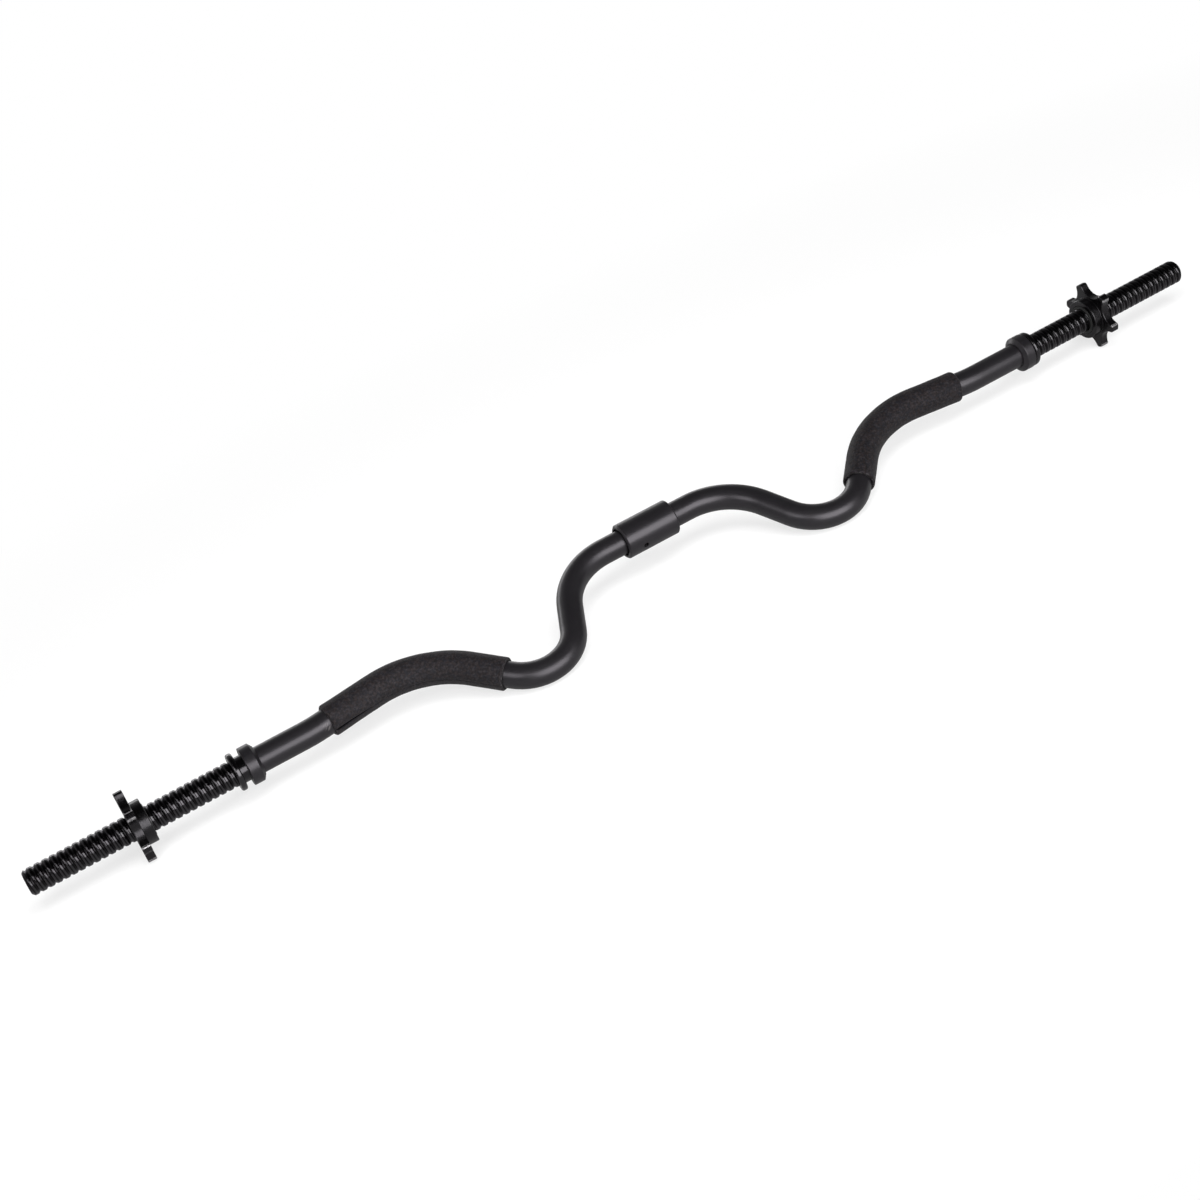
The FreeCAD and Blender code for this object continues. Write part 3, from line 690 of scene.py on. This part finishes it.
def ring_angles(seam_angle):
    """Return the angles round the grip in radians, closer together at the seam."""
    reach = SEAM_REACH / GRIP_RADIUS
    rest = math.tau - 2 * reach
    close = [seam_angle + reach * number / SEAM_POINTS for number in range(-SEAM_POINTS, SEAM_POINTS + 1)]
    spread = [seam_angle + reach + rest * number / RING_POINTS for number in range(1, RING_POINTS)]
    return close + spread


def apart(angle, other):
    """Return the turn from one angle to another in radians, between minus and plus half a turn."""
    return (angle - other + math.pi) % math.tau - math.pi


def seam_depth(distance, angle, seam_angle):
    """Return the depth of the seam, which stands open towards the outer end."""
    depth = SEAM_DEPTH + SEAM_OPEN_DEPTH * smooth_step(1 - (GRIP_LENGTH - distance) / SEAM_OPEN_REACH)
    across = apart(angle, seam_angle) * GRIP_RADIUS
    return depth * math.exp(-(across / SEAM_WIDTH) ** 2)


def mouth_gap(distance, angle, seam_angle):
    """Return how far the outer mouth stands off the tube beside the open seam."""
    if distance < GRIP_LENGTH / 2:
        return 0.0
    away = apart(angle, seam_angle + math.radians(MOUTH_GAP_TURN))
    return MOUTH_GAP * smooth_step(1 - abs(away) / math.radians(MOUTH_GAP_REACH))


def skin_offset(distance, angle, seam_angle, seed):
    """Return how far the outer skin stands off its plain radius."""
    outward = math.cos(angle)
    bend = 1 - smooth_step(abs(distance - HUMP_MIDDLE) / (HUMP_HALF * STRETCH_REACH_SHARE))
    stretch = -GRIP_STRETCH * outward * bend
    swell = GRIP_OUTER_SWELL * smooth_step(1 - (GRIP_LENGTH - distance) / GRIP_SWELL_REACH)
    spot = Vector((distance, TUBE_RADIUS * outward, TUBE_RADIUS * math.sin(angle))) / GRIP_UNEVEN_SIZE
    uneven = GRIP_UNEVENNESS * noise.fractal(spot + Vector((seed, 0, 0)), *UNEVEN_FRACTAL)
    return stretch + swell + uneven - seam_depth(distance, angle, seam_angle)


def frayed(distance, angle, seed):
    """Return a distance along the grip, shifted unevenly where the foam was cut."""
    from_end = min(distance, GRIP_LENGTH - distance)
    spot = Vector((math.cos(angle), math.sin(angle), seed)) * (TUBE_RADIUS / FRAY_SIZE)
    inward = FRAY * smooth_step(1 - from_end / FRAY_REACH) * (1 + noise.noise(spot)) / 2
    return distance + math.copysign(inward, GRIP_LENGTH / 2 - distance)


def wall_faces(ring_count, spoke_count):
    """Return the faces of a closed wall of rings, whose last ring meets its first."""
    faces = []
    for ring in range(ring_count):
        here = ring * spoke_count
        there = (ring + 1) % ring_count * spoke_count
        for spoke in range(spoke_count):
            next_spoke = (spoke + 1) % spoke_count
            faces.append((here + spoke, here + next_spoke, there + next_spoke, there + spoke))
    return faces


def foam_grip(name, body):
    """Build one grip as a closed wall round its stretch of tube, standing for the plain solid."""
    outline = grip_outline()
    seam_angle = math.radians(SEAM_ANGLES[name])
    seed = GRIP_SEEDS[name]
    angles = ring_angles(seam_angle)
    to_row = LEFT_LAID_DOWN if name.startswith("left") else LAID_DOWN
    points = []
    cut_shares = []
    slit_shade_shares = []
    for distance, radius, share, mouth in outline:
        from_end = min(distance, GRIP_LENGTH - distance)
        for angle in angles:
            station = walk(GRIP_START, GRIP_ROUTE, frayed(distance, angle, seed))
            stand = radius + share * skin_offset(distance, angle, seam_angle, seed)
            stand += mouth * mouth_gap(distance, angle, seam_angle)
            points.append(to_row @ route_point(station, angle, stand))
            cut_shares.append(1 - smooth_step(from_end / CUT_REACH))
            # Painted shade: the seam is darkened more the deeper it is.
            painted_slit_shade = smooth_step(seam_depth(distance, angle, seam_angle) / SLIT_SHADE_DEPTH)
            slit_shade_shares.append(share * painted_slit_shade)
    mesh = bpy.data.meshes.new(name + "_skin")
    mesh.from_pydata(points, [], wall_faces(len(outline), len(angles)))
    mesh.shade_smooth()
    mesh.attributes.new(CUT_EDGE, "FLOAT", "POINT").data.foreach_set("value", cut_shares)
    mesh.attributes.new(SLIT_SHADE, "FLOAT", "POINT").data.foreach_set("value", slit_shade_shares)
    grip = bpy.data.objects.new(name + "_skin", mesh)
    bpy.context.scene.collection.objects.link(grip)
    mesh.materials.append(foam(name))
    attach(grip, body)
    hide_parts(name)


def dress(nodes, material):
    for node in nodes:
        slots = NODES[node].data.materials
        slots.clear()
        slots.append(material)


def both(*names):
    return [side + name for name in names for side in SIDES]


def add_light(name, place, size, power, glossy=True):
    lamp = bpy.data.lights.new(name, "AREA")
    lamp.shape = "RECTANGLE"
    lamp.size, lamp.size_y = size
    lamp.energy = power
    light = bpy.data.objects.new(name, lamp)
    light.location = place
    light.rotation_euler = (-Vector(place)).to_track_quat("-Z", "Y").to_euler()
    light.visible_glossy = glossy
    bpy.context.scene.collection.objects.link(light)


def seen_directly(tree, path):
    """Return 1 for what the camera sees, a share of it in gloss and glass, and 0 for scattered light."""
    total = path.outputs["Is Camera Ray"]
    for name in ("Is Glossy Ray", "Is Transmission Ray"):
        part = calculated(tree, "MULTIPLY", path.outputs[name], MIRRORED_SHARE)
        total = calculated(tree, "MAXIMUM", total, part)
    return total


def white_floor():
    """White that keeps a pale shadow near the bar and runs out to plain white."""
    material = bpy.data.materials.new("white_floor")
    material.use_nodes = True
    tree = material.node_tree
    tree.nodes.clear()
    path = tree.nodes.new("ShaderNodeLightPath")
    tone = mixed_colour(tree, path.outputs["Is Glossy Ray"], FLOOR_BOUNCE, FLOOR_MIRRORED)
    tone = mixed_colour(tree, path.outputs["Is Camera Ray"], tone, FLOOR_WHITE)
    lit = tree.nodes.new("ShaderNodeBsdfDiffuse")
    tree.links.new(tone, lit.inputs["Color"])
    white = add(tree, "ShaderNodeEmission", Color=WHITE, Strength=1.0)
    flat = mapped(tree, object_coordinates(tree), Scale=FLOOR_STRETCH)
    away = vector_sum(tree, "LENGTH", flat)["Value"]
    glow = ranged(tree, away, FLOOR_GLOW_SPAN, FLOOR_GLOW_SHARES)
    blend = tree.nodes.new("ShaderNodeMixShader")
    tree.links.new(calculated(tree, "MULTIPLY", glow, seen_directly(tree, path)), blend.inputs["Fac"])
    tree.links.new(lit.outputs["BSDF"], blend.inputs[1])
    tree.links.new(white.outputs["Emission"], blend.inputs[2])
    output = tree.nodes.new("ShaderNodeOutputMaterial")
    tree.links.new(blend.outputs["Shader"], output.inputs["Surface"])
    return material


def add_floor():
    mesh = bpy.data.meshes.new("floor")
    half = FLOOR_SIZE / 2
    corners = [(-half, -half, 0), (half, -half, 0), (half, half, 0), (-half, half, 0)]
    mesh.from_pydata(corners, [], [(0, 1, 2, 3)])
    floor = bpy.data.objects.new("floor", mesh)
    bpy.context.scene.collection.objects.link(floor)
    mesh.materials.append(white_floor())


def add_world():
    """White where the camera looks; in the gloss pale at the back and left, dim at the right and overhead."""
    world = bpy.data.worlds.new("studio")
    world.use_nodes = True
    bpy.context.scene.world = world
    tree = world.node_tree
    direction = tree.nodes.new("ShaderNodeTexCoord").outputs["Generated"]
    height = ranged(tree, parted(tree, direction)["Z"], ROOM_HEIGHT_SPAN, (ROOM_BRIGHT, 0.0))
    towards = vector_sum(tree, "DOT_PRODUCT", direction, ROOM_BRIGHT_SIDE)["Value"]
    side = ranged(tree, towards, ROOM_SIDE_SPAN, ROOM_SIDE_SHARES)
    room = calculated(tree, "MULTIPLY", height, side)
    path = tree.nodes.new("ShaderNodeLightPath")
    strength = mixed_value(tree, path.outputs["Is Camera Ray"], room, 1.0)
    background = tree.nodes["Background"]
    tree.links.new(strength, background.inputs["Strength"])
    background.inputs["Color"].default_value = WHITE


def add_camera():
    lens = bpy.data.cameras.new("camera")
    lens.sensor_fit = "HORIZONTAL"
    lens.sensor_width = SENSOR_WIDTH
    lens.lens = CAMERA_LENS
    lens.clip_end = FLOOR_SIZE
    camera = bpy.data.objects.new("camera", lens)
    camera.location = CAMERA_PLACE
    camera.rotation_euler = [math.radians(turn) for turn in CAMERA_TURN]
    bpy.context.scene.collection.objects.link(camera)
    bpy.context.scene.camera = camera


dress(both("shaft_tube", "inner_flange") + ["coupling_sleeve"], powder_coat())
dress(both("threaded_spindle", "stop_ring") + ["coupling_set_screw"], gloss_thread())
dress(both("star_nut"), gloss_casting())
dress(both("nut_gasket"), rubber())
dress(["left_captive_ring", "right_threaded_ferrule", "coupling_spigot", "alignment_pin"], turned_steel())
for side in SIDES:
    foam_grip(side + "foam_grip", side + "half")

add_floor()
add_world()
add_light("key", KEY_PLACE, KEY_SIZE, KEY_POWER)
add_light("side", SIDE_PLACE, SIDE_SIZE, SIDE_POWER)
add_light("back", BACK_PLACE, BACK_SIZE, BACK_POWER)
add_light("top", TOP_PLACE, TOP_SIZE, TOP_POWER, glossy=False)
add_camera()
bpy.context.scene.view_settings.view_transform = "Standard"
